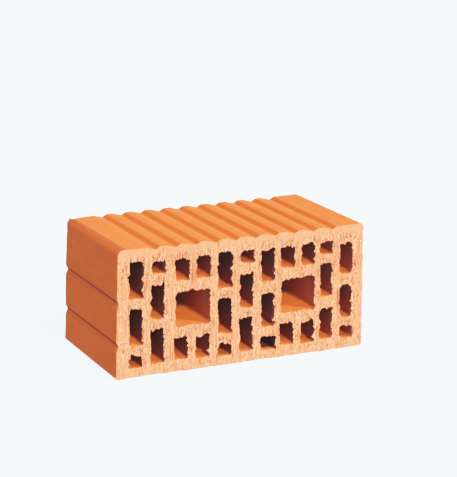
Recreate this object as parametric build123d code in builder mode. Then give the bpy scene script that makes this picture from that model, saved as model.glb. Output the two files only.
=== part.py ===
"""A perforated clay building block, lying on one of its long sides.

The block is one piece of fired clay. The clay is pushed through a die, so every
form runs along Y: the grooved outer skin, the rounded long edges and all the
cells. Wires then cut the bar square across, which leaves two flat cut faces.
Lengths are in millimetres. X is the block's length, Y is the way the clay was
pushed and Z is up. The origin is in the middle of the side that lies on the floor.
"""

import os

from build123d import *

# The fired block
length = 250.0
depth = 138.0
height = 120.0
edge_radius = 5.5

# Grooves that key plaster and mortar. Each is a lopsided V: a slope down to the
# valley, then a shorter and steeper rise.
groove_valley_radius = 0.8
groove_shoulder_radius = 3.0

# Grooves across the top side, their valleys counted from the left end
top_groove_slope = 9.0
top_groove_rise = 4.5
top_groove_depth = 2.5
top_groove_pitch = 20.0
top_first_valley = 37.0
top_last_land = 30.0

# Grooves up the left end, their valleys counted from the bottom
end_groove_slope = 4.8
end_groove_rise = 3.6
end_groove_depth = 2.0
end_groove_pitch = 38.9
end_first_valley = 31.5
end_last_land = 42.0

# Walls between the cells and the outside
end_wall = 11.3
top_wall = 13.0
bottom_wall = 10.2

# Cells. They stand in columns, and a web of clay parts the cells of a column.
cell_width = 13.2
cell_radius = 2.0
low_cell_height = 11.5
row_web = 9.8

# Square grip holes, each as wide as two columns with the web between them
grip_width = 35.0
grip_height = 33.0
grip_radius = 2.5

# What stands in each column, from left to right: two tall cells over a low one,
# a low cell over two tall ones, or half of a grip hole between short cells
TALL_TALL_LOW = "tall tall low"
LOW_TALL_TALL = "low tall tall"
GRIP = "grip"
columns = (
    TALL_TALL_LOW, LOW_TALL_TALL, GRIP, GRIP,
    TALL_TALL_LOW, LOW_TALL_TALL, TALL_TALL_LOW,
    GRIP, GRIP, LOW_TALL_TALL, TALL_TALL_LOW,
)
# The cores of all but the two columns at each end sit to the right in the die,
# by this share of the web between two columns
inner_shift_share = 0.365
outer_columns = 2

# Columns are spread evenly between the end walls
column_pitch = (length - 2 * end_wall - cell_width) / (len(columns) - 1)
column_web = column_pitch - cell_width
inner_shift = inner_shift_share * column_web

# Heights that are left for the taller cells between the walls and webs
cells_top = height - top_wall
cells_bottom = bottom_wall
cells_height = cells_top - cells_bottom
tall_cell_height = (cells_height - 2 * row_web - low_cell_height) / 2
short_cell_height = (cells_height - 2 * row_web - grip_height) / 2


def column_centre(index):
    """Where a column stands along X, counted from the left."""
    inner = outer_columns <= index < len(columns) - outer_columns
    first = -length / 2 + end_wall + cell_width / 2
    return first + index * column_pitch + (inner_shift if inner else 0.0)


def stack_centres(heights):
    """Middle heights of cells that are stacked down from the top wall with webs between."""
    centres = []
    top = cells_top
    for cell_height in heights:
        centres.append(top - cell_height / 2)
        top -= cell_height + row_web
    return centres


def row_of_valleys(first, pitch, last_land, extent):
    """Valley places along a side, as many as leave the last land free."""
    count = int((extent - first - last_land) / pitch) + 1
    return [first + number * pitch for number in range(count)]


# The groove outlines, with the valley at the origin's depth and the skin at zero
with BuildSketch() as top_groove:
    with BuildLine():
        Polyline((-top_groove_slope, 0), (0, -top_groove_depth), (top_groove_rise, 0), close=True)
    make_face()
    fillet(top_groove.vertices().sort_by(Axis.Y)[0], groove_valley_radius)

with BuildSketch() as end_groove:
    with BuildLine():
        Polyline((-end_groove_slope, 0), (0, -end_groove_depth), (end_groove_rise, 0), close=True)
    make_face()
    fillet(end_groove.vertices().sort_by(Axis.Y)[0], groove_valley_radius)

top_valleys = [
    place - length / 2
    for place in row_of_valleys(top_first_valley, top_groove_pitch, top_last_land, length)
]
end_valleys = row_of_valleys(end_first_valley, end_groove_pitch, end_last_land, height)

tall_tall_low = (tall_cell_height, tall_cell_height, low_cell_height)
low_tall_tall = tall_tall_low[::-1]
short_grip_short = (short_cell_height, grip_height, short_cell_height)

# The die's opening, seen from the front: the skin first, then every core
with BuildPart() as brick:
    with BuildSketch(Plane.XZ) as section:
        with Locations((0, height / 2)):
            RectangleRounded(length, height, edge_radius)
        with Locations([(x, height) for x in top_valleys]):
            add(top_groove.sketch, mode=Mode.SUBTRACT)
        with Locations([(-length / 2, z) for z in end_valleys]):
            add(end_groove.sketch, rotation=90, mode=Mode.SUBTRACT)

        # The die rounds both shoulders of every groove
        shoulders = section.vertices().filter_by(
            lambda corner: any(
                abs(corner.Y - height) < 1e-6 and abs(corner.X - x - side) < 1e-6
                for x in top_valleys for side in (-top_groove_slope, top_groove_rise)
            ) or any(
                abs(corner.X + length / 2) < 1e-6 and abs(corner.Y - z - side) < 1e-6
                for z in end_valleys for side in (-end_groove_slope, end_groove_rise)
            )
        )
        fillet(shoulders, groove_shoulder_radius)

        # Cells, column by column
        for index, stack in enumerate(columns):
            if stack == GRIP:
                heights = short_grip_short
            elif stack == TALL_TALL_LOW:
                heights = tall_tall_low
            else:
                heights = low_tall_tall
            for row, (z, cell_height) in enumerate(zip(stack_centres(heights), heights)):
                if stack == GRIP and row == 1:
                    continue
                with Locations((column_centre(index), z)):
                    RectangleRounded(cell_width, cell_height, cell_radius, mode=Mode.SUBTRACT)

        # Grip holes, each centred on its pair of columns
        grip_columns = [index for index, stack in enumerate(columns) if stack == GRIP]
        grip_z = stack_centres(short_grip_short)[1]
        for left, right in zip(grip_columns[0::2], grip_columns[1::2]):
            with Locations(((column_centre(left) + column_centre(right)) / 2, grip_z)):
                RectangleRounded(grip_width, grip_height, grip_radius, mode=Mode.SUBTRACT)

    extrude(amount=depth / 2, both=True)

brick.part.label = "brick"
os.makedirs("parts", exist_ok=True)
export_step(brick.part, "parts/brick.step")
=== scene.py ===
"""A perforated clay block on a pale studio floor.

The block is one piece of fired clay. A die pressed its skin and its cells along Y, and
wires cut it off square at both ends of that way. The model's frame gives its size, and
this script gives it the torn rims, the wire's scratches and the clay's colours.
Shapes are worked out in millimetres and put into Blender in metres.
"""

import math

import bpy
import numpy as np
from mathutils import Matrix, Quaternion, Vector
from mathutils.geometry import delaunay_2d_cdt


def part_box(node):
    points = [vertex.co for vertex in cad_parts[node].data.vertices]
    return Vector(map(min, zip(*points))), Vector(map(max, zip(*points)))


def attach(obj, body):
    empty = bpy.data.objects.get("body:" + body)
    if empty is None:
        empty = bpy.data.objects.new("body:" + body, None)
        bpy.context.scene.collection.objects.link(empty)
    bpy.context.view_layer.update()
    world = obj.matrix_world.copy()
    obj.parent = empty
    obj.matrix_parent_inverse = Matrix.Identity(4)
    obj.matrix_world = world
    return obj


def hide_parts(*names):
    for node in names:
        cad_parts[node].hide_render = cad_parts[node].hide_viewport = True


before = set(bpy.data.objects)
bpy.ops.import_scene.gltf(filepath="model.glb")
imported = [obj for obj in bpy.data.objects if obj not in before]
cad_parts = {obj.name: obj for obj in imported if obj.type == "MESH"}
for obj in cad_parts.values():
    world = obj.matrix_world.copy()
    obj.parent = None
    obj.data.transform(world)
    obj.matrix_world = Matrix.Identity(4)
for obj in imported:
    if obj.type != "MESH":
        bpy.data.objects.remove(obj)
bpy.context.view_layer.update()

# The bar's outline. The bar is soft clay, and the die gives it four long sides with round
# edges, ten lopsided grooves across the top that hold plaster, and two more up the left
# end. It leaves the die in one piece, so this outline is the skin from front to back.
MILLIMETRE = 0.001
box_low, box_high = (np.array(corner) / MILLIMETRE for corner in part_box("brick"))
length, depth, height = box_high - box_low
left_end, front_cut, _ = box_low
edge_radius = 5.5

# A groove is a long slope down to its valley and a short rise behind it. Valleys on the top
# are counted from the left end, and those up the left end from the bottom.
groove_rounding = 0.45
top_groove_slope, top_groove_rise, top_groove_depth = 9.0, 4.5, 2.5
top_first_valley, top_groove_pitch, top_groove_count = 37.0, 20.0, 10
end_groove_slope, end_groove_rise, end_groove_depth = 4.8, 3.6, 2.0
end_first_valley, end_groove_pitch, end_groove_count = 31.5, 38.9, 2
top_valleys = left_end + top_first_valley + top_groove_pitch * np.arange(top_groove_count)
end_valleys = end_first_valley + end_groove_pitch * np.arange(end_groove_count)

# Steps between the outline's points, for the bottom, the right end, the top and the left
# end, and the longest step in a round corner
skin_steps = (1.6, 1.6, 1.25, 1.4)
corner_step = 1.2
fewest_corner_steps = 3


def stations(run, step, marks):
    """Distances along a side at about even steps, with every mark among them."""
    stops = np.concatenate([[0], np.sort(marks), [run]])
    counts = np.maximum(np.round(np.diff(stops) / step), 1).astype(int)
    spans = zip(stops, stops[1:], counts)
    return np.concatenate([np.linspace(*ends, count, endpoint=False) for *ends, count in spans])


def rounded_loop(width, tall, radius, steps, marks=((), (), (), ())):
    """A rectangle with round corners about the origin, walked anticlockwise from its lower left.

    Each side is a straight run at even steps and marks, and each corner a quarter circle
    about the side's end. Gives the points, the way out at each, and how far along the walk
    each is.
    """
    points, ways = [], []
    for turn, (step, kept) in enumerate(zip(steps, marks)):
        heading = turn * math.pi / 2
        along = np.array([math.cos(heading), math.sin(heading)])
        out = np.array([along[1], -along[0]])
        run, reach = ((width, tall), (tall, width))[turn % 2]
        run = run - 2 * radius
        begin = -along * run / 2 + out * reach / 2
        travel = stations(run, step, kept)[:, None]
        points.append(begin + along * travel)
        ways.append(np.repeat(out[None], len(travel), axis=0))
        corner = begin + along * run - out * radius
        count = max(round(radius * math.pi / 2 / min(step, corner_step)), fewest_corner_steps)
        angle = heading + np.linspace(-math.pi / 2, 0, count + 1)[:-1, None]
        way = np.hstack([np.cos(angle), np.sin(angle)])
        points.append(corner + radius * way)
        ways.append(way)
    points, ways = np.vstack(points), np.vstack(ways)
    gaps = np.linalg.norm(np.roll(points, -1, axis=0) - points, axis=1)
    return points, ways, np.concatenate([[0], np.cumsum(gaps)[:-1]])


def groove(place, valleys, slope, rise, deep):
    """Depth of the grooves along a side: from each valley the depth falls to nothing in a
    straight line, over the long slope before it and the short rise after it. The mean over
    a short stretch rounds the corners as the die does."""
    total = 0
    shifts = np.linspace(-groove_rounding, groove_rounding, 5)
    for shift in shifts:
        offset = (place + shift)[:, None] - valleys
        share = np.where(offset < 0, 1 + offset / slope, 1 - offset / rise)
        total = total + np.clip(share, 0, None).max(axis=1)
    return deep * total / len(shifts)


def bends(valleys, slope, rise):
    """Where a side with grooves bends: at the shoulders and the valley of each groove, and
    where the short curve that rounds each of them begins and ends."""
    curve = (-groove_rounding, 0.0, groove_rounding)
    return (valleys[:, None, None] + np.add.outer((-slope, 0.0, rise), curve)).ravel()


# Left of a crease the top's edge is painted in shade, and the outline has points on both sides
# of that crease
crease, crease_blur = left_end + 8.3, 0.2
top_bends = np.append(bends(top_valleys, top_groove_slope, top_groove_rise),
                      (crease - crease_blur, crease + crease_blur))
top_marks = length / 2 - edge_radius - top_bends
end_marks = height - edge_radius - bends(end_valleys, end_groove_slope, end_groove_rise)
skin_loop = rounded_loop(length, height, edge_radius, skin_steps, ((), (), top_marks, end_marks))
outline, outline_way, outline_walk = skin_loop
outline = outline + (0, height / 2)

STRAIGHT = 0.999
on_top = outline_way[:, 1] > STRAIGHT
on_left = outline_way[:, 0] < -STRAIGHT
upward = outline_way[:, 1] > 0.02
top_grooves = groove(outline[:, 0], top_valleys, top_groove_slope, top_groove_rise, top_groove_depth)
end_grooves = groove(outline[:, 1], end_valleys, end_groove_slope, end_groove_rise, end_groove_depth)
sunk = np.where(on_top, top_grooves, 0.0) + np.where(on_left, end_grooves, 0.0)


def on_rise(place, valleys, rise, slack=0.1):
    """Whether each place lies on the steep side of a groove, from its valley to its shoulder."""
    offset = place[:, None] - valleys
    return ((offset > -slack) & (offset < rise - slack)).any(axis=1)


# How much painted shade darkens the skin: half on the rises of the top's grooves, wholly on
# those of the left end, and most of it on the top left of the crease, where it fades round
# the edge
top_rise_shade, crease_shade = 0.5, 0.85
tilt = np.clip(-outline_way[:, 0], 0, 1)
painted_shade = top_rise_shade * (on_top & on_rise(outline[:, 0], top_valleys, top_groove_rise))
painted_shade += on_left & on_rise(outline[:, 1], end_valleys, end_groove_rise)
painted_shade += crease_shade * (outline[:, 0] < crease) * upward * (1 - tilt ** 2)

# The clay's unevenness. Pressed, cut and fired clay is never quite flat, so every surface
# of the block takes its waves and scratches from one smooth random relief, and its tears
# and burrs from one kind of bell.
LATTICE_ROWS = 512


def relief(across, along, seed, around=None):
    """Random heights from -1 to 1 on whole numbers of two coordinates, blended between
    with a smooth step. Around is after how many cells the first coordinate repeats."""
    size = around or LATTICE_ROWS
    lattice = np.random.default_rng(seed).uniform(-1, 1, (size, LATTICE_ROWS))
    column, row = np.floor(across).astype(int), np.floor(along).astype(int)
    share_across, share_along = across - column, along - row
    share_across = share_across ** 2 * (3 - 2 * share_across)
    share_along = share_along ** 2 * (3 - 2 * share_along)
    near, far = column % size, (column + 1) % size
    row, next_row = row % LATTICE_ROWS, (row + 1) % LATTICE_ROWS
    first = lattice[near, row] * (1 - share_across) + lattice[far, row] * share_across
    second = lattice[near, next_row] * (1 - share_across) + lattice[far, next_row] * share_across
    return first * (1 - share_along) + second * share_along


def push(points, places):
    """How far each point of a rim moves out of its hole. Each place is a tear or a burr:
    its point, its reach and its depth, and it fades as a bell curve with the distance."""
    total = np.zeros(len(points))
    for x, z, reach, deep in places:
        away = np.hypot(points[:, 0] - x, points[:, 1] - z)
        total += deep * np.exp(-(away / reach) ** 2)
    return total


# The skin from the front cut to the back cut. Pressed clay is smooth, with long drag lines
# and slow waves. The soft bar sags and slumps a little while it dries, so the front edge of
# its bottom is uneven, and its upper left edge hangs lower towards the back.
ring_depths = np.concatenate([[0, 0.4, 1.1, 2.4, 4.6], np.linspace(8, depth / 2, 16)])
skin_rings = front_cut + np.concatenate([ring_depths, depth - ring_depths[-2::-1]])
from_cut = np.minimum(skin_rings - front_cut, front_cut + depth - skin_rings)[:, None]
is_front = (skin_rings < 0)[:, None]
ring_grid = skin_rings[:, None]
perimeter = outline_walk[-1] + np.linalg.norm(outline[0] - outline[-1])
turns = outline_walk[None] / perimeter

# Waves and drag lines: how many go round the bar, how long they are along it, and how deep.
# The drag lines are faint near the left end.
waves_around, wave_length, wave_depth = 26, 38, 0.07
drags_around, drag_length, drag_depth = 230, 160, 0.05
faint_length, faint_share = 30, 0.3
mean_inset = 0.09
slow_waves = relief(turns * waves_around, ring_grid / wave_length, 11, around=waves_around)
drag_lines = relief(turns * drags_around, ring_grid / drag_length, 12, around=drags_around)
land_share = np.where(outline[:, 0] > left_end + faint_length, 1.0, faint_share)
inset = mean_inset + wave_depth * slow_waves + drag_depth * drag_lines * land_share

# Towards a cut the edge is ragged, most at the right end, and its very edge is broken. The
# front edge of the bottom also sags, apart from a foot near the left corner. The lower left
# and the upper right corner were squashed outwards.
nicks_around = 120
sag_depth, sag_reach = 0.4, 7
ragged_reach = 3
broken_depth, broken_reach = 0.1, 0.5
underside = np.clip(-outline_way[:, 1], 0, 1) ** 2
right_side = np.clip(outline_way[:, 0], 0, 1) ** 2
left_side = np.clip(-outline_way[:, 0], 0, 1) ** 2
edge_waves = relief(turns * nicks_around, ring_grid * 0 + is_front * 7.0, 13, around=nicks_around)
foot = push(outline, [(left_end + 8, 0, 7.0, 1.0)])
squash = push(outline, [(left_end + 1.6, 1.6, 2.6, 1.4), (-left_end - 1.6, height - 1.6, 3.4, 1.0)])
sag = underside * (sag_depth - sag_depth * foot + sag_depth * edge_waves) * is_front
ragged = (0.1 + 0.3 * right_side + 0.1 * left_side) * (0.4 + edge_waves)
inset = inset + sag * np.exp(-from_cut / sag_reach) + ragged * np.exp(-from_cut / ragged_reach)
inset = inset + broken_depth * np.exp(-(from_cut / broken_reach) ** 2)

# The slump grows from nothing at the front cut: the top drops near its left end, the left
# end sinks in towards its top, and the edge between them rounds off
top_slump, top_slump_reach = 1.5, 16
end_slump, end_slump_reach = 1.1, 38
edge_slump = 1.2
rearward = np.clip((ring_grid - front_cut) / depth, 0, 1) ** 1.5
slump = top_slump * on_top * np.exp(-((outline[:, 0] - left_end) / top_slump_reach) ** 2)
slump += end_slump * left_side * np.exp(-((height - outline[:, 1]) / end_slump_reach) ** 2)
slump += edge_slump * (1 - left_side) * tilt * upward
inset = inset + rearward * slump
inset = np.clip(inset, 0, None) + sunk - squash

skin = np.empty(inset.shape + (3,))
skin[:, :, 0] = np.clip(outline[:, 0] - inset * outline_way[:, 0], left_end, -left_end)
skin[:, :, 1] = ring_grid
skin[:, :, 2] = np.clip(outline[:, 1] - inset * outline_way[:, 1], 0, height)

# The cells. Steel cores in the die leave thirty-one straight holes through the clay, two of
# them square for a mason's grip. Their walls are smooth, but the cutting wire tears their
# rims, and the torn clay is gone, or hangs as a burr, for a few millimetres behind the cut.
cell_width = 13.2
cell_radius = 2.0
low_height = 11.5
end_wall = 11.3
top_wall = 13.0
bottom_wall = 10.2
row_web = 9.8
grip_width = 35.0
grip_height = 33.0
grip_radius = 2.5
inner_shift_share = 0.365
outer_columns = 2
tall_height = (height - top_wall - bottom_wall - 2 * row_web - low_height) / 2
short_height = (height - top_wall - bottom_wall - 2 * row_web - grip_height) / 2
heights = {"tall": tall_height, "low": low_height, "short": short_height, "grip": grip_height}

# Each kind of rim: how far its left, right, bottom and top sides stand out of the true
# hole, the radius of its corners, then its tears, each with its place as a share of the
# half width and half height, its reach, and its depth, which is below nothing for a burr.
rims = {
    "stepped tall": (0.0, 0.2, 0.2, 1.3, 2.2, [
        (-1, 0.19, 1.4, 1.6), (-1, 0.02, 3.0, 0.7), (-1, 0.34, 1.6, -0.9), (-1, -0.4, 3.0, -0.6),
        (-1, -0.9, 2.2, 0.7), (1, 0.5, 4.0, 0.5), (1, 0.03, 2.0, -1.5), (1, -0.22, 1.4, 0.9),
        (1, -0.58, 2.2, -1.7), (1, -1, 1.5, 1.7), (1, 1, 2.6, -1.4),
    ]),
    "plain tall": (-0.4, -0.4, 0.3, 0.0, 1.8, [
        (-1, -0.38, 3.5, -0.7), (-1, 0.04, 1.2, -0.5), (-1, 0.6, 3.0, 0.4), (1, -0.95, 1.8, 1.3),
        (0.55, -1, 2.2, 1.1), (-0.5, -1, 1.2, -0.7), (1, 1, 1.6, -0.6), (-0.2, 1, 3.0, 0.3),
    ]),
    "pinched low": (-0.6, -0.2, 0.8, -0.2, 1.4, [
        (-0.5, 1, 1.3, 1.2), (-1, 0.72, 1.3, -1.5), (-1, 0.05, 1.1, 0.7), (-1, -0.35, 0.9, -0.6),
        (-1, -0.7, 1.2, 0.6), (0.65, 1, 3.0, -1.0), (1, 0.3, 1.2, 0.5), (1, 1, 1.5, -0.9),
        (1, -0.8, 1.3, 0.4),
    ]),
    "arched low": (-0.6, 0.2, 0.5, -0.2, 2.4, [
        (-1, 1, 2.2, -0.9), (-1, -0.05, 1.4, 1.0), (-0.45, 1, 1.1, 0.5), (-0.1, 1, 1.0, -0.5),
        (0.3, 1, 1.2, 0.4), (0.55, 1, 0.9, -0.4), (0.85, 1, 1.0, 0.8), (1, -0.9, 2.6, 1.2),
        (-0.8, -1, 2.0, -0.5), (1, 0.4, 1.5, -0.3),
    ]),
    "peaked tall": (0.0, -0.7, 0.0, -1.0, 1.8, [
        (0.82, 1, 1.0, 2.1), (-0.75, 1, 1.0, 0.9), (-0.4, 1, 1.2, -0.7), (0.5, 1, 1.2, -0.8),
        (-1, 0.65, 2.2, 0.5), (-1, 0.27, 2.0, -1.0), (-1, -0.02, 1.8, 0.9), (-1, -0.35, 2.0, -1.0),
        (-1, -0.78, 2.2, 0.7), (1, -0.02, 1.6, -0.8), (-1, -1, 2.0, -1.2), (0.3, -1, 3.0, 0.7),
    ]),
    "frayed tall": (0.0, -0.5, -1.0, 0.3, 1.3, [
        (-1, 1, 1.0, 1.3), (-0.75, 1, 1.4, -1.6), (0.45, 1, 2.2, 0.9), (1, 0.8, 3.5, -0.7),
        (1, 0.52, 0.9, -1.6), (1, 0.1, 3.0, -0.4), (-1, 0.75, 3.5, 0.8), (-1, -0.2, 4.0, -0.8),
        (1, -0.85, 2.0, 0.6), (-0.3, -1, 1.4, 0.5),
    ]),
    "toothed short": (0.0, 1.0, -1.0, -1.7, 1.6, [
        (-1, 1, 1.6, 0.5), (-0.45, 1, 0.8, 0.9), (-0.05, 1, 0.9, 1.6), (0.32, 1, 0.8, 1.3),
        (0.72, 1, 1.2, -0.4), (-1, 0.7, 2.0, 0.9), (-1, -0.75, 4.0, -1.0), (0.7, -1, 2.5, 0.7),
        (1, -0.1, 3.0, -0.4),
    ]),
    "bitten short": (0.2, 0.2, -1.3, -0.3, 1.8, [
        (-1, 1, 1.7, -2.0), (0.35, 1, 2.6, 0.6), (1, 0.95, 1.3, -1.6), (1, 0.45, 1.4, 0.5),
        (1, -0.02, 1.3, 0.8), (1, -0.55, 1.3, -1.1), (-1, 0.6, 1.4, 0.5), (-1, -0.45, 1.5, 0.8),
        (-1, 0.1, 1.6, -0.5), (0.9, -1, 1.4, 0.5),
    ]),
    "horned short": (0.3, -0.2, -1.7, 0.2, 1.4, [
        (0.62, 1, 0.9, 1.4), (-1, 1, 1.2, 1.2), (-0.75, 1, 1.3, -0.6), (1, 0.36, 0.8, 1.2),
        (1, 0.7, 1.6, -0.5), (1, -0.8, 2.2, 0.6), (-1, 0.6, 2.6, 0.4), (-1, -0.6, 3.0, -0.5),
        (-0.5, -1, 1.4, -0.5), (0.15, -1, 1.2, -0.4),
    ]),
    "burred short": (0.1, 0.0, -0.5, 0.2, 1.5, [
        (-0.5, 1, 2.4, -2.0), (0.55, 1, 1.8, 0.8), (1, 0.62, 1.4, 0.3), (1, 0.36, 1.0, -1.0),
        (1, 0.05, 1.3, 0.8), (1, -0.45, 1.5, -2.8), (1, -0.82, 1.2, 0.6), (-1, -0.42, 1.8, 0.7),
        (0.3, -1, 1.2, -0.6), (-0.6, -1, 1.2, 0.5),
    ]),
    "torn grip": (-0.8, 0.2, -0.5, 0.3, 2.2, [
        (-0.05, 1, 1.9, 1.6), (0.24, 1, 2.2, -0.7), (-1, 1, 2.6, -1.2), (-1, 0.7, 1.4, 0.7),
        (-1, 0.4, 3.0, -0.6), (-1, -0.1, 3.0, 0.5), (-1, -0.7, 2.5, -0.4), (1, 0.88, 1.0, 0.7),
        (1, 0.72, 1.0, -0.9), (1, 0.6, 0.9, 0.8), (1, 0.2, 3.0, -0.4), (-0.05, -1, 4.0, -1.3),
        (0.45, -1, 2.5, -0.3), (0.85, -1, 2.5, 0.5), (-0.7, -1, 2.0, 0.3),
    ]),
    "chipped grip": (-1.1, 0.6, -0.8, 0.0, 2.4, [
        (-1, 1, 2.6, -1.8), (-0.55, 1, 2.6, -0.5), (-0.1, 1, 1.4, 1.0), (0.15, 1, 1.2, -0.6),
        (0.6, 1, 4.0, 0.7), (-1, 0.45, 1.3, 0.9), (-1, 0.1, 1.6, -0.8), (-1, -0.5, 3.0, 0.4),
        (1, 0.6, 1.4, -0.7), (1, 0.3, 1.0, 0.6), (1, -0.6, 1.3, -0.6), (0.9, -1, 1.8, 1.0),
        (0.3, -1, 3.0, -0.6), (-0.3, -1, 3.0, 0.6), (-0.9, -1, 2.0, 0.5),
    ]),
    "slanted tall": (0.0, -0.3, -0.8, -1.9, 1.4, [
        (-0.85, 1, 1.2, 0.4), (-0.3, 1, 3.0, -0.9), (0.75, 1, 1.8, 1.3), (-1, 0.2, 2.6, 1.1),
        (-1, -0.3, 2.5, -0.4), (1, 0.1, 4.0, -0.3), (1, -0.7, 2.0, 0.5), (-1, 0.8, 2.0, 0.3),
    ]),
    "ragged tall": (0.0, -0.2, 0.0, -0.7, 1.6, [
        (1, 1, 1.4, -1.1), (1, 0.72, 1.0, 0.3), (1, 0.5, 1.6, -1.6), (1, 0.3, 0.8, -0.8),
        (1, 0.1, 1.2, 0.3), (1, -0.25, 1.6, 0.7), (1, -0.64, 1.3, -1.9), (1, -0.8, 0.9, 3.0),
        (-1, 0.25, 1.0, -0.7), (-1, 0.0, 0.9, -0.7), (-1, -0.5, 2.2, -1.3), (-1, -0.9, 2.0, -1.2),
        (0.3, -1, 1.4, -0.8),
    ]),
    "tailed low": (0.2, 1.4, 0.5, 1.0, 1.6, [
        (1, -1, 1.2, 2.2), (1, -0.5, 1.1, -1.0), (-1, 1, 1.6, -1.2), (-1, 0.2, 1.2, 0.7),
        (1, 1, 1.6, -1.2), (-0.4, 1, 1.4, 0.6), (-1, -0.7, 1.2, -0.5),
    ]),
    "hooked low": (0.0, -0.4, 1.0, -0.8, 1.7, [
        (-1, 1, 1.6, -1.0), (-1, -0.2, 1.4, 0.7), (1, 0.85, 1.2, 1.6), (1, 0.2, 1.2, -0.4),
        (0.9, -1, 2.6, 0.7), (-0.8, -1, 2.0, -0.6), (0.2, 1, 1.5, 0.5),
    ]),
    "bitten tall": (-0.2, -0.3, -0.9, 0.0, 1.5, [
        (1, 0.9, 2.6, -1.0), (1, 0.5, 1.1, 0.8), (1, 0.33, 1.2, -1.7), (1, -0.03, 2.6, -1.8),
        (1, -0.85, 2.0, 0.6), (-1, 0.08, 1.4, -0.8), (-1, -0.15, 2.0, -1.0), (-1, -0.7, 3.0, -1.3),
        (-1, 1, 1.6, -0.8), (0.4, 1, 2.5, 0.5),
    ]),
    "waisted tall": (0.0, 0.0, -2.0, -1.2, 1.8, [
        (1, 1, 1.1, 2.0), (0.6, 1, 1.2, 0.9), (0.2, 1, 1.0, -0.9), (-0.45, 1, 1.1, 0.9),
        (-1, 1, 1.9, -1.5), (-1, 0.12, 2.0, -1.8), (-1, -0.2, 2.0, -1.1), (-1, 0.6, 2.0, 0.4),
        (1, 0.7, 1.2, -0.6), (1, 0.45, 2.2, 0.6), (1, -0.2, 2.6, -0.8), (1, -0.7, 1.8, 0.3),
    ]),
    "pointed tall": (0.0, 0.0, 1.3, -4.6, 2.0, [
        (0.3, 1, 2.4, 1.6), (-0.4, 1, 1.3, -0.5), (-0.85, 1, 1.2, 0.7), (1, 1, 1.8, -0.4),
        (-1, 0.6, 1.4, -0.6), (-1, -0.2, 1.3, 0.6), (-1, 0.1, 1.6, -0.5), (1, -0.4, 1.6, 0.4),
        (1, -0.9, 3.0, -1.0), (-1, -1, 2.0, -1.0),
    ]),
    "domed tall": (-0.2, -0.5, 1.1, -1.4, 3.2, [
        (-1, 1, 2.8, -1.2), (1, 1, 3.2, -1.4), (-1, -0.08, 1.1, 0.9), (-1, -0.35, 2.0, -0.9),
        (-1, -0.85, 3.0, -1.5), (1, -0.05, 2.0, -0.7), (1, -0.3, 1.6, 0.6), (1, 0.4, 2.0, 0.3),
        (-0.6, -1, 2.0, -0.8),
    ]),
    "round low": (-0.5, 0.6, -0.2, 1.0, 2.4, [
        (-0.4, 1, 1.6, 0.7), (1, 1, 2.0, -1.3), (-1, 0.95, 1.3, -0.4), (-1, -0.2, 1.5, 0.4),
        (-1, -1, 2.0, -1.5), (1, -0.8, 1.5, 0.5), (0.3, 1, 1.6, -0.5),
    ]),
}

# What stands in each column from the top down, how far the wire drags the left and the
# right sides of its rims to the right, and how dark the painted shade on its walls is. The
# grips' walls get little painted shade, and one low cell is painted almost black.
columns = [
    (0.5, 0.9, 1.0, ["stepped tall", "plain tall", "pinched low"]),
    (0.4, 0.8, 0.9, ["arched low", "peaked tall", "frayed tall"]),
    (-0.6, -0.5, 0.8, ["toothed short", "torn grip", "horned short"]),
    (-0.8, -0.1, 0.7, ["bitten short", None, "burred short"]),
    (-0.8, 0.4, 1.0, ["stepped tall", "plain tall", "pinched low"]),
    (-0.1, 1.0, 0.9, ["arched low", "peaked tall", "frayed tall"]),
    (0.2, 1.2, 0.9, ["slanted tall", "ragged tall", "tailed low"]),
    (-1.2, -0.7, 0.8, ["toothed short", "chipped grip", "horned short"]),
    (-0.9, -0.4, 0.75, ["bitten short", None, "burred short"]),
    (-0.2, 0.2, 0.45, ["hooked low", "bitten tall", "waisted tall"]),
    (-0.7, -0.2, 0.4, ["pointed tall", "domed tall", "round low"]),
]
# Painted shade on the grips' walls, and on the low cell that is painted almost black
GRIP_SHADE = 0.15
FULL_SHADE = 1.6
column_pitch = (length - 2 * end_wall - cell_width) / (len(columns) - 1)
inner_shift = inner_shift_share * (column_pitch - cell_width)


def column_centre(index):
    """The columns stand at one pitch, and all but two at each end sit a little to the right."""
    inner = outer_columns <= index < len(columns) - outer_columns
    return left_end + end_wall + cell_width / 2 + index * column_pitch + inner * inner_shift


cells = []
for index, (left_drag, right_drag, column_shade, stack) in enumerate(columns):
    top = height - top_wall
    for kind in stack:
        x, width, radius, shade_level = column_centre(index), cell_width, cell_radius, column_shade
        size = kind.split()[-1] if kind else "grip"
        tall = heights[size]
        if size == "grip":
            x, width, radius, shade_level = x + column_pitch / 2, grip_width, grip_radius, GRIP_SHADE
        if kind == "tailed low":
            shade_level = FULL_SHADE
        if kind:
            drags = (left_drag, right_drag)
            cells.append((x, top - tall / 2, width, tall, radius, drags, shade_level, kind))
        top -= tall + row_web

# Steps between a rim's points on the bottom, the right, the top and the left, and the last
# step that closes it. The rings of points behind a cut stand close where its tears fade.
cell_steps = (0.68, 0.62, 0.58, 0.66)
closing_step = 0.6
cell_depths = np.array([0, 0.6, 1.5, 3.0, 5.5, 9.5, 15.5])
cell_rings = front_cut + np.concatenate([cell_depths, depth - cell_depths[::-1]])

# The depth over which a torn rim turns into the straight wall, and the longer one on the
# floor. The wire dragged a floor's rim down, so behind it the floor of each size of cell
# stands higher by its own step.
RIM_FADE = 2.4
FLOOR_FADE = 10.0
floor_steps = {"tall": 1.2, "low": 0.1, "short": 1.6, "grip": 2.0}

# Painted shade that grows towards the top of each cell. The floors keep the lighter colour of
# lit clay, but in the cell painted almost black only this far in.
shade_rise = 0.27
short_floor_light = 7.0
FRONT_SEED, BACK_SEED, CHANCE_SEED = 100, 200, 300


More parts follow.
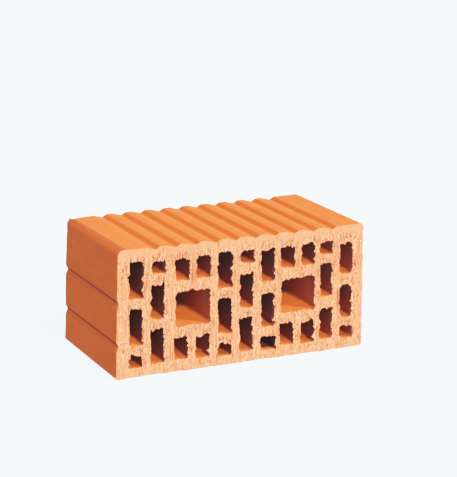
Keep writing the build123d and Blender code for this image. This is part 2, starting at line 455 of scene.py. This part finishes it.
def torn_rim(points, ways, walk, middle, half, radius, rim, seed):
    """Where a hole's rim runs after the cut. The true rim is stretched to the rim's own
    sides and corner radius, then its tears and burrs push it out or in, and with them a
    fine raggedness that is greatest on the top and right sides and least in the corners."""
    left, right, bottom, top, corner, tears = rim
    low, high = middle - half - (left, bottom), middle + half + (right, top)
    local, core = points - middle, half - radius
    straight = np.clip(local, -core, core)
    torn = low + corner + (high - low - 2 * corner) * (straight / core + 1) / 2
    torn += (local - straight) * corner / radius
    centre, reach_out = (low + high) / 2, (high - low) / 2
    places = [(*(centre + reach_out * (across, up)), reach, deep) for across, up, reach, deep in tears]
    total = push(torn, places)
    around = walk[-1] + closing_step
    ups, rights = np.clip(ways[:, 1], 0, 1) ** 2, np.clip(ways[:, 0], 0, 1) ** 2
    cornered = np.minimum(16 * (ways[:, 0] * ways[:, 1]) ** 2, 1)
    for size, share in ((1.2, 1.0), (2.4, 0.7)):
        count = round(around / size)
        rough = relief(walk / around * count, walk * 0, seed + count, around=count)
        total += share * rough * (0.3 + 0.45 * ups + 0.4 * rights) * (1 - 0.6 * cornered)
    # a burr stops short of its corner's centre, so that the rim never crosses itself
    total = np.maximum(total, -0.7 * corner - 20 * (1 - cornered))
    return torn + total[:, None] * ways


def chance_rim(chance, radius):
    """A rim for the back cut, with nine tears and burrs at random places of its sides."""
    tears = []
    for _ in range(9):
        spot = chance.uniform(-1, 1, 2)
        spot = spot / np.abs(spot).max()
        tears.append((*spot, chance.uniform(1.0, 2.6), chance.uniform(-1.2, 1.2)))
    return (-0.1, -0.2, -0.3, -0.4, radius, tears)


cell_walls, wall_shade, wall_floor_light = [], [], []
for number, (x, z, width, tall, radius, drags, shade_level, kind) in enumerate(cells):
    points, ways, walk = rounded_loop(width, tall, radius, cell_steps)
    middle, half = np.array([x, z]), np.array([width, tall]) / 2
    points = points + middle
    hole = (points, ways, walk, middle, half, radius)
    front_rim = torn_rim(*hole, rims[kind], FRONT_SEED + number)
    front_rim[:, 0] += np.interp(front_rim[:, 0], (x - width / 2, x + width / 2), drags)
    chance = np.random.default_rng(CHANCE_SEED + number)
    back_rim = torn_rim(*hole, chance_rim(chance, radius), BACK_SEED + number)

    # the true hole, with its floor lifted, and each rim blended into it
    height_share = (points[:, 1] - z) / half[1]
    below = np.clip(-height_share, 0, 1)
    rim_bottom = rims[kind][2]
    lift = floor_steps[kind.split()[-1]] - rim_bottom
    inner = points + np.outer(below, (0, lift))
    fades = RIM_FADE + (FLOOR_FADE - RIM_FADE) * below ** 2
    near_front = np.exp(-((cell_rings - front_cut)[:, None] / fades) ** 1.5)[:, :, None]
    near_back = np.exp(-((front_cut + depth - cell_rings)[:, None] / fades) ** 1.5)[:, :, None]
    shape = inner + (front_rim - inner) * near_front + (back_rim - inner) * near_back
    wall = np.empty(shape.shape[:2] + (3,))
    wall[:, :, 0], wall[:, :, 1], wall[:, :, 2] = shape[:, :, 0], cell_rings[:, None], shape[:, :, 1]
    cell_walls.append(wall)

    # Each wall's painted shade, darker towards its top, and how much of it is floor in the colour of lit
    # clay
    wall_shade.append(np.tile(np.clip(shade_level + shade_rise * height_share, 0, None), len(cell_rings)))
    floor_light = np.tile(np.clip(-ways[:, 1], 0, 1) ** 2, (len(cell_rings), 1))
    if shade_level == FULL_SHADE:
        floor_light[np.abs(cell_rings) < depth / 2 - short_floor_light] = 0
    wall_floor_light.append(floor_light.ravel())

# The cut faces. A taut wire draws down through the soft bar and leaves upright scratches,
# crumbs and short upright rips, most of them above the cells and beside them. Along the
# top skin, where the clay is densest, the cut is smoother.
rip_count = 420

# Longer cracks in the front face: x from the left end, z, half width and half length
crack_places = [(99.0, 116.5, 0.5, 5.0), (73.5, 88.0, 0.75, 9.5), (28.5, 86.0, 0.6, 4.0),
                (40.5, 90.0, 0.9, 2.5), (116.5, 86.0, 0.55, 4.5), (197.0, 88.0, 0.5, 6.0),
                (57.0, 26.0, 0.5, 7.0), (181.0, 90.0, 0.6, 8.0), (223.0, 52.0, 0.6, 12.0)]


def rips(seed):
    """Short upright rips as rows of x, z, half width and half length: some stand over the
    cells' tops, some beside their right edges, and the rest anywhere on the face."""
    chance = np.random.default_rng(seed)
    rows = []
    for _ in range(rip_count):
        x, z, width, tall, *_ = cells[chance.integers(len(cells))]
        kind = chance.random()
        if kind < 0.4:
            place = (x + chance.uniform(-0.55, 0.6) * width, z + tall / 2 + 0.6 + 3.6 * chance.random())
        elif kind < 0.62:
            place = (x + width / 2 + 0.8 + 2.6 * chance.random(), z + chance.uniform(-0.5, 0.5) * tall)
        else:
            place = (left_end + 3 + (length - 6) * chance.random(), 2 + (height - 6) * chance.random())
        rows.append((*place, chance.uniform(0.28, 0.62), chance.uniform(0.7, 3.0)))
    return np.array(rows)


# The cut's relief in millimetres, and the heights between which it turns dense near the top
mean_cut, scratch_depth, crumb_depth, swell_depth, rip_depth = 0.42, 0.2, 0.07, 0.14, 0.6
least_cut = 0.02
dense_from, dense_to, dense_calm = 109.0, 112.0, 0.65


def cut_relief(points, seed, places):
    """How deep the cut lies behind the true plane, and how torn it is, from 0 to 1: long
    scratches with a few widths, slow waves, and each rip as a bell longer than it is wide."""
    x, z = points[:, 0], points[:, 1]
    scratch = 0.5 * relief(x / 0.95, z / 16, seed) + 0.5 * relief(x / 2.3, z / 28, seed + 1)
    crumbs = relief(x / 1.6, z / 2.2, seed + 2)
    waves = relief(x / 14, z / 22, seed + 3)
    torn = np.zeros(len(points))
    for row in places:
        near = np.abs(x - row[0]) < 4 * row[2]
        away = ((x[near] - row[0]) / row[2]) ** 2 + ((z[near] - row[1]) / row[3]) ** 2
        torn[near] = np.maximum(torn[near], np.exp(-away))
    dense = np.clip((z - dense_from) / (dense_to - dense_from), 0, 1)
    rough = (scratch_depth * scratch + crumb_depth * crumbs) * (1 - dense_calm * dense)
    deep = mean_cut + rough + swell_depth * waves + rip_depth * torn
    return np.clip(deep, least_cut, None), torn


def worked(points):
    """How much the wire has worked the clay over the cells and beside their right edges:
    a bell curve across each such strip, 2 to 3 mm off the cell, which fades past its ends."""
    x, z = points[:, 0], points[:, 1]
    total = np.zeros(len(points))
    for middle, level, width, tall, *_ in cells:
        over = np.exp(-((z - level - tall / 2 - 2.6) / 2.2) ** 2 - ((x - middle) / (0.6 * width)) ** 4)
        beside = np.exp(-((x - middle - width / 2 - 2.2) / 1.9) ** 2 - ((z - level) / (0.5 * tall)) ** 4)
        total = np.maximum(total, np.maximum(over, 0.7 * beside))
    return total


def inside(points, loop):
    """Whether points lie inside a loop: a line to the right of one crosses the loop an odd
    number of times."""
    start, end = loop, np.roll(loop, -1, axis=0)
    x, z = points[:, 0, None], points[:, 1, None]
    spans = (start[:, 1] > z) != (end[:, 1] > z)
    rise = np.where(end[:, 1] == start[:, 1], 1e-9, end[:, 1] - start[:, 1])
    crossing = start[:, 0] + (z - start[:, 1]) / rise * (end[:, 0] - start[:, 0])
    return ((spans & (x < crossing)).sum(axis=1) % 2).astype(bool)


def face_points(outer, holes, across, up, seed, nudge=0.18, chunk=1500):
    """A grid of points over the clay of a cut face, nudged at random, and none of them
    close to a rim or over a hole. Distances to a rim are worked out a chunk at a time."""
    columns_x = np.arange(left_end + across, -left_end, across)
    rows_z = np.arange(up, height, up)
    grid = np.stack(np.meshgrid(columns_x, rows_z), axis=-1)
    grid[1::2, :, 0] += across / 2
    grid = grid.reshape(-1, 2)
    grid += np.random.default_rng(seed).uniform(-nudge, nudge, grid.shape) * (across, up)
    clearance = 0.42 * across + 0.12
    keep = inside(grid, outer)
    for loop in [outer] + holes:
        low, high = loop.min(axis=0) - 1, loop.max(axis=0) + 1
        near = np.flatnonzero(keep & ((grid > low) & (grid < high)).all(axis=1))
        for part in np.array_split(near, max(len(near) // chunk, 1)):
            gap = np.linalg.norm(grid[part, None] - loop, axis=2).min(axis=1)
            keep[part] &= gap > clearance
        if loop is not outer:
            keep[near] &= ~inside(grid[near], loop)
    return grid[keep]


def net(loops, loose):
    """Triangles between an outer loop, the loops of its holes and loose points within. Each
    triangle lists the loops that it lies in, and the clay's lie in the first one alone."""
    corners = np.vstack(loops + [loose]).tolist()
    ends = np.cumsum([len(loop) for loop in loops])
    faces = [list(range(end - len(loop), end)) for loop, end in zip(loops, ends)]
    _, _, triangles, _, _, origins = delaunay_2d_cdt(corners, [], faces, 1, 1e-6, True)
    return np.array([three for three, within in zip(triangles, origins) if list(within) == [0]])


# The block put together. The skin, the cell walls and the two cut faces share the points
# of their rims, so the clay is one closed surface. The soft bar leaned a little while it
# dried, most of all at the top of its left end.
lean = 4.0
grids = [skin] + cell_walls

# Each patch is a view of its grid, so what moves a grid later moves its patch too
patches = [grid.reshape(-1, 3) for grid in grids]
starts = np.concatenate([[0], np.cumsum([len(patch) for patch in patches])])


def wall_faces(grid, start, outward):
    """The four-cornered faces between the rings of a grid that closes on itself."""
    rings, count = grid.shape[:2]
    here = start + np.arange(rings * count).reshape(rings, count)
    beside = np.roll(here, -1, axis=1)
    corners = [here[:-1], here[1:], beside[1:], beside[:-1]]
    if not outward:
        corners = corners[::-1]
    return np.stack(corners, axis=-1).reshape(-1, 4)


quads = [wall_faces(grid, start, outward=number == 0)
         for number, (grid, start) in enumerate(zip(grids, starts))]

# Each side's first or last ring, its plane, the way into the clay, the steps of its grid of
# points across and up, and its seed. The front shows most, so its grid is finer. Behind a
# cut its relief moves the rings of the skin and the cells too, and fades over its reach.
SIDES = (
    ("front", 0, front_cut, 1.0, 0.72, 1.5, 21),
    ("back", -1, front_cut + depth, -1.0, 1.15, 2.2, 61),
)
CUT_REACH = 1.5
torn_shares = [np.zeros(len(patch)) for patch in patches]
worked_shares = [np.zeros(len(patch)) for patch in patches]
triangles = []
next_start = starts[-1]
for side, ring, plane, inward, across, up, seed in SIDES:
    loops = [grid[ring][:, [0, 2]] for grid in grids]
    loose = face_points(loops[0], loops[1:], across, up, seed)
    places = rips(seed + 5)
    if side == "front":
        places = np.vstack([places, np.array(crack_places) + (left_end, 0, 0, 0)])
    for number, grid in enumerate(grids):
        deep, torn = cut_relief(loops[number], seed, places)
        away = np.abs(grid[:, :, 1] - plane)
        grid[:, :, 1] += inward * deep * np.exp(-away / CUT_REACH)
        torn_shares[number].reshape(grid.shape[:2])[ring] = torn
        worked_shares[number].reshape(grid.shape[:2])[ring] = worked(loops[number])
    deep, torn = cut_relief(loose, seed, places)
    patches.append(np.column_stack([loose[:, 0], plane + inward * deep, loose[:, 1]]))
    torn_shares.append(torn)
    worked_shares.append(worked(loose))
    rim_ids = [start + np.arange(grid.size // 3).reshape(grid.shape[:2])[ring]
               for grid, start in zip(grids, starts)]
    ids = np.concatenate(rim_ids + [next_start + np.arange(len(loose))])
    mesh_net = ids[net(loops, loose)]
    triangles.append(mesh_net if side == "front" else mesh_net[:, ::-1])
    next_start += len(loose)

corners = np.vstack(patches)
corners[:, 0] += lean * corners[:, 2] / height * (-left_end - corners[:, 0]) / length
corners *= MILLIMETRE
quad_rows, triangle_rows = np.vstack(quads), np.vstack(triangles)
corner_ids = np.concatenate([quad_rows.ravel(), triangle_rows.ravel()])
side_counts = np.concatenate([np.full(len(quad_rows), 4), np.full(len(triangle_rows), 3)])

mesh = bpy.data.meshes.new("fired_clay_block")
mesh.vertices.add(len(corners))
mesh.vertices.foreach_set("co", corners.ravel())
mesh.loops.add(len(corner_ids))
mesh.loops.foreach_set("vertex_index", corner_ids)
mesh.polygons.add(len(side_counts))
mesh.polygons.foreach_set("loop_start", np.concatenate([[0], np.cumsum(side_counts)[:-1]]))
mesh.update(calc_edges=True)

# What the materials read at each point: how torn and how worked the cut is, how dark the
# painted shade on a cell's wall is and how much of it is floor in the colour of lit clay,
# and how much painted shade the skin has
skin_bare, face_bare = np.zeros(len(patches[0])), np.zeros(len(corners) - starts[-1])
marks = {
    "torn": torn_shares,
    "worked": worked_shares,
    "shade_level": [skin_bare] + wall_shade + [face_bare],
    "floor_light": [skin_bare] + wall_floor_light + [face_bare],
    "painted_shade": [np.tile(painted_shade, len(skin_rings)), np.zeros(len(corners) - len(patches[0]))],
}
for name, shares in marks.items():
    mark = mesh.attributes.new(name, "FLOAT", "POINT")
    mark.data.foreach_set("value", np.concatenate(shares))
PRESSED, CELL, CUT = range(3)
surface = np.full(len(side_counts), CUT)
surface[:len(quads[0])] = PRESSED
surface[len(quads[0]):len(quad_rows)] = CELL
mesh.polygons.foreach_set("material_index", surface)

# Edges sharper than this, in degrees, stay crisp
SHARP_EDGE = 48
mesh.polygons.foreach_set("use_smooth", np.ones(len(side_counts), dtype=bool))
mesh.set_sharp_from_angle(angle=math.radians(SHARP_EDGE))
block = bpy.data.objects.new("fired_clay_block", mesh)
bpy.context.scene.collection.objects.link(block)


def linear(hex_colour):
    """An sRGB hex colour as linear light, by the standard curve."""
    shares = [int(hex_colour[i:i + 2], 16) / 255 for i in (0, 2, 4)]
    return tuple(s / 12.92 if s <= 0.04045 else ((s + 0.055) / 1.055) ** 2.4 for s in shares) + (1.0,)


def grey(share):
    """A colour with the same share of red, green and blue."""
    return (share, share, share, 1.0)


def per_metre(*size_mm):
    """The scale at which a pattern's blobs have the given sizes along x, y and z."""
    return tuple(1 / (size * MILLIMETRE) for size in size_mm)


def add(tree, kind, inputs=(), stops=(), result=0, **settings):
    """Adds one node and gives one of its outputs. Settings are its properties, inputs are
    numbers, colours or other nodes' outputs by socket, and stops a ramp's places and colours."""
    node = tree.nodes.new(kind)
    for name, value in settings.items():
        setattr(node, name, value)
    for socket, value in dict(inputs).items():
        if isinstance(value, bpy.types.NodeSocket):
            tree.links.new(value, node.inputs[socket])
        else:
            node.inputs[socket].default_value = value
    for number, (place, colour) in enumerate(stops):
        ramp = node.color_ramp.elements
        stop = ramp[number] if number < 2 else ramp.new(place)
        stop.position, stop.color = place, colour
    return node.outputs[result]


def clay(name, roughness, sheen):
    """A material of fired clay, with its tree, its shader and the object's own coordinates.
    Its index of refraction is that of ceramic, and open pores take most of its sheen."""
    material = bpy.data.materials.new(name)
    material.use_nodes = True
    tree = material.node_tree
    shader = tree.nodes["Principled BSDF"]
    shader.inputs["Roughness"].default_value = roughness
    shader.inputs["IOR"].default_value = 1.5
    shader.inputs["Specular IOR Level"].default_value = sheen
    return material, tree, shader, add(tree, "ShaderNodeTexCoord", result="Object")


# A Mix node that mixes colours has its share, its two colours and its outcome at these
# numbers, because sockets of other kinds carry the same names
SHARE, FROM, TO, MIXED = 0, 6, 7, 2

# The pressed skin is fired clay that slid along the steel of the die. It gives the eye an
# even, matt orange with faint lines along the bar and slow clouds, and painted shade darkens
# it on the rises of its grooves and on the top left of the crease.
pressed, tree, shader, place = clay("die_pressed_fired_clay", 0.85, 0.13)
noises = []
for size_mm in ((1.5, 140, 1.5), (17, 26, 17)):
    scaled = add(tree, "ShaderNodeMapping", {"Vector": place, "Scale": per_metre(*size_mm)})
    noises.append(add(tree, "ShaderNodeTexNoise", {
        "Vector": scaled, "Scale": 1.0, "Detail": 3.0, "Roughness": 0.6}, result="Fac"))
lines, mottle = noises
lined = add(tree, "ShaderNodeValToRGB", {"Fac": lines}, [
    (0.38, linear("B84A16")), (0.62, linear("C6541C"))])
clouded = add(tree, "ShaderNodeValToRGB", {"Fac": mottle}, [
    (0.35, linear("BA4C19")), (0.65, linear("C4541E"))])
tint = add(tree, "ShaderNodeMix", {SHARE: 0.5, FROM: lined, TO: clouded}, result=MIXED, data_type="RGBA")
# Painted shade: a darker tint where the skin is marked as shaded, half of it on the top's rises
painted_shade_share = add(tree, "ShaderNodeAttribute", attribute_name="painted_shade", result="Fac")
shaded_tint = add(tree, "ShaderNodeValToRGB", {"Fac": painted_shade_share}, [
    (top_rise_shade, linear("B84908")), (1.0, linear("7E3014"))])
shown = add(tree, "ShaderNodeMapRange", {"Value": painted_shade_share, "From Max": top_rise_shade})
tint = add(tree, "ShaderNodeMix", {SHARE: shown, FROM: tint, TO: shaded_tint}, result=MIXED, data_type="RGBA")
tree.links.new(tint, shader.inputs["Base Color"])

# Clay's own grain is about 0.2 mm, too fine to show, so it is drawn at 0.8 mm and longer
# along the bar
scaled = add(tree, "ShaderNodeMapping", {"Vector": place, "Scale": per_metre(0.8, 1.1, 0.8)})
grain = add(tree, "ShaderNodeTexNoise", {
    "Vector": scaled, "Scale": 1.0, "Detail": 2.0, "Roughness": 0.5}, result="Fac")
lined = add(tree, "ShaderNodeBump", {"Height": lines, "Strength": 0.28, "Distance": 0.0004})
grained = add(tree, "ShaderNodeBump", {
    "Height": grain, "Strength": 0.5, "Distance": 0.0004, "Normal": lined})
tree.links.new(grained, shader.inputs["Normal"])

# The cell walls are fired clay that slid over steel cores. Painted shade makes them a dark red
# brown, darkest deep inside and again towards the rims. The floors keep the orange of lit
# clay, painted a little darker near the mouths, and deep inside painted shade takes them too.
cell_clay, tree, shader, place = clay("core_drawn_fired_clay", 0.9, 0.04)
SHADE_REACH = 0.060
half_depth = depth / 2 * MILLIMETRE
along = add(tree, "ShaderNodeSeparateXYZ", {"Vector": place}, result="Y")
from_middle = add(tree, "ShaderNodeMath", {0: along}, operation="ABSOLUTE")
near_mouth = add(tree, "ShaderNodeMapRange", {
    "Value": from_middle, "From Min": half_depth - SHADE_REACH, "From Max": half_depth})
shade_level = add(tree, "ShaderNodeAttribute", attribute_name="shade_level", result="Fac")
# Painted shade by depth: dark deep inside, none 14 to 23 mm in, and darker again towards the mouth
depth_shade = add(tree, "ShaderNodeValToRGB", {"Fac": near_mouth}, [
    (0.0, grey(0.50)), (1.0, grey(0.46)), (0.62, grey(0.0)), (0.76, grey(0.0))])
dark = add(tree, "ShaderNodeMath", {0: shade_level, 1: depth_shade}, operation="ADD")
half_dark = add(tree, "ShaderNodeMath", {0: dark, 1: 0.5}, operation="MULTIPLY")
wall_tint = add(tree, "ShaderNodeValToRGB", {"Fac": half_dark}, [
    (0.0, linear("AE5A42")), (0.5, linear("6C3835")), (0.85, linear("180E0D"))])
# Floors are painted darker in cells with more painted shade, and near the mouths
floor_tint = add(tree, "ShaderNodeValToRGB", {"Fac": shade_level}, [
    (0.1, linear("D85B1D")), (0.9, linear("B44A1A"))])
mouth_shade = add(tree, "ShaderNodeMapRange", {"Value": near_mouth, "From Min": 0.62, "From Max": 0.80})
floor_tint = add(tree, "ShaderNodeMix", {
    SHARE: mouth_shade, FROM: floor_tint, TO: linear("B04A1C")}, result=MIXED, data_type="RGBA")
floor_light = add(tree, "ShaderNodeAttribute", attribute_name="floor_light", result="Fac")
floor_light_reach = add(tree, "ShaderNodeMapRange", {"Value": near_mouth, "From Max": 0.1, "To Max": 1.0})
floor_light = add(tree, "ShaderNodeMath", {0: floor_light, 1: floor_light_reach}, operation="MULTIPLY")
tint = add(tree, "ShaderNodeMix", {
    SHARE: floor_light, FROM: wall_tint, TO: floor_tint}, result=MIXED, data_type="RGBA")
tree.links.new(tint, shader.inputs["Base Color"])
scaled = add(tree, "ShaderNodeMapping", {"Vector": place, "Scale": per_metre(2.2, 120, 2.2)})
lines = add(tree, "ShaderNodeTexNoise", {
    "Vector": scaled, "Scale": 1.0, "Detail": 3.0, "Roughness": 0.55}, result="Fac")
bump = add(tree, "ShaderNodeBump", {"Height": lines, "Strength": 0.4, "Distance": 0.0004})
tree.links.new(bump, shader.inputs["Normal"])

# The cut faces are fired clay that the wire tore open. The broken grain gives the eye the
# palest and roughest orange of the block, with upright streaks and grit. The wire's marks
# are 0.2 to 0.5 mm wide, too fine to show, so they are drawn at 0.7 mm and more.
cut_clay, tree, shader, place = clay("wire_cut_fired_clay", 0.95, 0.13)
noises = []
for size_mm in ((0.8, 4, 12), (1.7, 4, 26), (0.7, 4, 1.1)):
    scaled = add(tree, "ShaderNodeMapping", {"Vector": place, "Scale": per_metre(*size_mm)})
    noises.append(add(tree, "ShaderNodeTexNoise", {
        "Vector": scaled, "Scale": 1.0, "Detail": 1.0, "Roughness": 0.5}, result="Fac"))
streaks, bands, grit = noises
lined = add(tree, "ShaderNodeMath", {0: streaks, 1: bands}, operation="ADD")
level = add(tree, "ShaderNodeMath", {0: grit, 1: 0.5, 2: lined}, operation="MULTIPLY_ADD")
share = add(tree, "ShaderNodeMapRange", {"Value": level, "From Min": 0.85, "From Max": 1.65})
tint = add(tree, "ShaderNodeValToRGB", {"Fac": share}, [
    (0.1, linear("9E522C")), (0.9, linear("D87A54")), (0.5, linear("C26844"))])

# Hair cracks run where a noise drawn out upright passes its middle value, in patches that a
# second noise and the worked clay choose. Each is a dark core, painted shade inside the crack,
# between pale lips of crumbled clay: long cracks first, then short teeth, most of them in the worked
# clay.
zone = add(tree, "ShaderNodeAttribute", attribute_name="worked", result="Fac")
HAIRS = (
    ((2.2, 4, 9.0), (2.2, 4, 4.5), 0.050, 0.10, 0.52),
    ((1.8, 4, 2.6), (2.6, 4, 2.2), 0.055, 0.22, 0.60),
)
PATCH_EDGE = 0.04
LIP, SHADED_CORE = (3.4, 1.2, 0.5, "E8A27C"), (1.2, 0.5, 1.0, "944014")
for hair_mm, patch_mm, width, eager, least in HAIRS:
    noises = []
    for size_mm in (hair_mm, patch_mm):
        scaled = add(tree, "ShaderNodeMapping", {"Vector": place, "Scale": per_metre(*size_mm)})
        noises.append(add(tree, "ShaderNodeTexNoise", {
            "Vector": scaled, "Scale": 1.0, "Detail": 1.0, "Roughness": 0.5}, result="Fac"))
    hair, patch = noises
    offset = add(tree, "ShaderNodeMath", {0: hair, 1: 0.5}, operation="SUBTRACT")
    away = add(tree, "ShaderNodeMath", {0: offset}, operation="ABSOLUTE")
    eased = add(tree, "ShaderNodeMath", {0: zone, 1: eager, 2: patch}, operation="MULTIPLY_ADD")
    shown = add(tree, "ShaderNodeMapRange", {
        "Value": eased, "From Min": least, "From Max": least + PATCH_EDGE})
    for reach, full, strength, colour in (LIP, SHADED_CORE):
        near = add(tree, "ShaderNodeMapRange", {
            "Value": away, "From Min": full * width, "From Max": reach * width,
            "To Min": strength, "To Max": 0.0})
        share = add(tree, "ShaderNodeMath", {0: near, 1: shown}, operation="MULTIPLY")
        tint = add(tree, "ShaderNodeMix", {
            SHARE: share, FROM: tint, TO: linear(colour)}, result=MIXED, data_type="RGBA")

# The dense clay along the top skin is plainer and smoother, and torn clay is darker
up = add(tree, "ShaderNodeSeparateXYZ", {"Vector": place}, result="Z")
margin = add(tree, "ShaderNodeMapRange", {
    "Value": up, "From Min": 0.1105, "From Max": 0.1135, "To Max": 0.7})
tint = add(tree, "ShaderNodeMix", {
    SHARE: margin, FROM: tint, TO: linear("C66A46")}, result=MIXED, data_type="RGBA")
torn = add(tree, "ShaderNodeAttribute", attribute_name="torn", result="Fac")
tint = add(tree, "ShaderNodeMix", {
    SHARE: torn, FROM: tint, TO: linear("7A3014")}, result=MIXED, data_type="RGBA")
tree.links.new(tint, shader.inputs["Base Color"])
smooth = add(tree, "ShaderNodeMapRange", {
    "Value": up, "From Min": 0.1095, "From Max": 0.1125, "To Min": 1.0, "To Max": 0.4})
bump = add(tree, "ShaderNodeBump", {"Height": level, "Strength": smooth, "Distance": 0.0007})
tree.links.new(bump, shader.inputs["Normal"])

for material in (pressed, cell_clay, cut_clay):
    mesh.materials.append(material)
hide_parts("brick")
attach(block, "root")

# The floor is one wide sheet of pale studio paper. It is lit so evenly from below that the
# block's shadow all but vanishes, and it throws no light of its own onto the clay.
FLOOR_HALF = 20
FLOOR_GLOW = 2.6
sheet = bpy.data.meshes.new("studio_floor")
sheet.from_pydata([(-FLOOR_HALF, -FLOOR_HALF, 0), (FLOOR_HALF, -FLOOR_HALF, 0),
                   (FLOOR_HALF, FLOOR_HALF, 0), (-FLOOR_HALF, FLOOR_HALF, 0)], [], [(0, 1, 2, 3)])
floor = bpy.data.objects.new("studio_floor", sheet)
bpy.context.scene.collection.objects.link(floor)
paper = bpy.data.materials.new("pale_paper")
paper.use_nodes = True
shader = paper.node_tree.nodes["Principled BSDF"]
shader.inputs["Base Color"].default_value = linear("505557")
shader.inputs["Roughness"].default_value = 1.0
shader.inputs["Specular IOR Level"].default_value = 0.0
shader.inputs["Emission Color"].default_value = linear("E7FAFF")
shader.inputs["Emission Strength"].default_value = FLOOR_GLOW
sheet.materials.append(paper)
floor.visible_diffuse = False
floor.visible_glossy = False

# The studio's light. The room is pale at and above the height of the eye, dimmer below and
# straight up. Where the camera sees past the paper it is as pale as the paper, and a light
# above 1 has no hex value.
ROOM_LIGHT = 1.85
PAPER_SEEN = (1.32, 1.60, 1.62, 1.0)
world = bpy.data.worlds.new("studio")
bpy.context.scene.world = world
world.use_nodes = True
room = world.node_tree
way = add(room, "ShaderNodeTexCoord", result="Generated")
up = add(room, "ShaderNodeSeparateXYZ", {"Vector": way}, result="Z")
share = add(room, "ShaderNodeMapRange", {"Value": up, "From Min": -1.0, "From Max": 1.0})
glow = add(room, "ShaderNodeValToRGB", {"Fac": share}, [
    (0.1, grey(0.3)), (1.0, grey(0.05)), (0.45, grey(0.95)), (0.6, grey(1.0))])
seen = add(room, "ShaderNodeLightPath", result="Is Camera Ray")
glow = add(room, "ShaderNodeMix", {
    SHARE: seen, FROM: glow, TO: PAPER_SEEN}, result=MIXED, data_type="RGBA")
room.links.new(glow, room.nodes["Background"].inputs["Color"])
room.nodes["Background"].inputs["Strength"].default_value = ROOM_LIGHT


def way_to(azimuth, elevation):
    """The way to a place seen from the block at an azimuth, turned from the front to the
    right, and an elevation, in degrees."""
    turn, lift = math.radians(azimuth), math.radians(elevation)
    return Vector((math.sin(turn) * math.cos(lift), -math.cos(turn) * math.cos(lift), math.sin(lift)))


def shine_from(name, azimuth, elevation, strength, spread):
    """A sun lamp whose light comes from an azimuth and an elevation, and is as wide in the
    sky as its spread, in degrees."""
    lamp = bpy.data.lights.new(name, "SUN")
    lamp.energy = strength
    lamp.angle = math.radians(spread)
    item = bpy.data.objects.new(name, lamp)
    bpy.context.scene.collection.objects.link(item)
    item.rotation_mode = "QUATERNION"
    item.rotation_quaternion = way_to(azimuth, elevation).to_track_quat("Z", "Y")


shine_from("key_light", 57, 38, 9.1, 4)
shine_from("front_light", 3, 26, 8.9, 8)
shine_from("high_light", 5, 58, 2.1, 3)
shine_from("side_light", -100, 5, 0.6, 20)

# The camera stands to the left of the front, a little above the block, and far enough off
# that the block's sides hardly draw together. It is held by hand and rolls a little.
view_azimuth, view_elevation, view_roll = -24.22, 14.13, -0.22
aim, distance = Vector((0.0193, 0.0047, 0.0996)), 1.727
back_way = way_to(view_azimuth, view_elevation)
lens = bpy.data.cameras.new("camera")
lens.lens = 137.13
lens.sensor_width = 36
lens.clip_end = 100
camera = bpy.data.objects.new("camera", lens)
bpy.context.scene.collection.objects.link(camera)
camera.location = aim + back_way * distance
camera.rotation_mode = "QUATERNION"
roll = Quaternion((0, 0, 1), math.radians(view_roll))
camera.rotation_quaternion = (-back_way).to_track_quat("-Z", "Y") @ roll
bpy.context.scene.camera = camera

# The film. Its brightness levels off as 1 - exp(-light), which turns brightly lit clay
# paler, and its black is lifted a little. The fourth curve serves all three colours.
FILM_WHITE = 6.0
FILM_BLACK = 0.010
view = bpy.context.scene.view_settings
view.view_transform = "Standard"
view.use_curve_mapping = True
film = view.curve_mapping
film.white_level = (FILM_WHITE,) * 3
response = film.curves[3]
for light in (0.25, 0.5, 0.9, 1.4, 2.0, 2.8, 4.0):
    response.points.new(light / FILM_WHITE, 1 - math.exp(-light))
response.points[0].location = (0.0, FILM_BLACK)
response.points[len(response.points) - 1].location = (1.0, 1.0)
film.update()
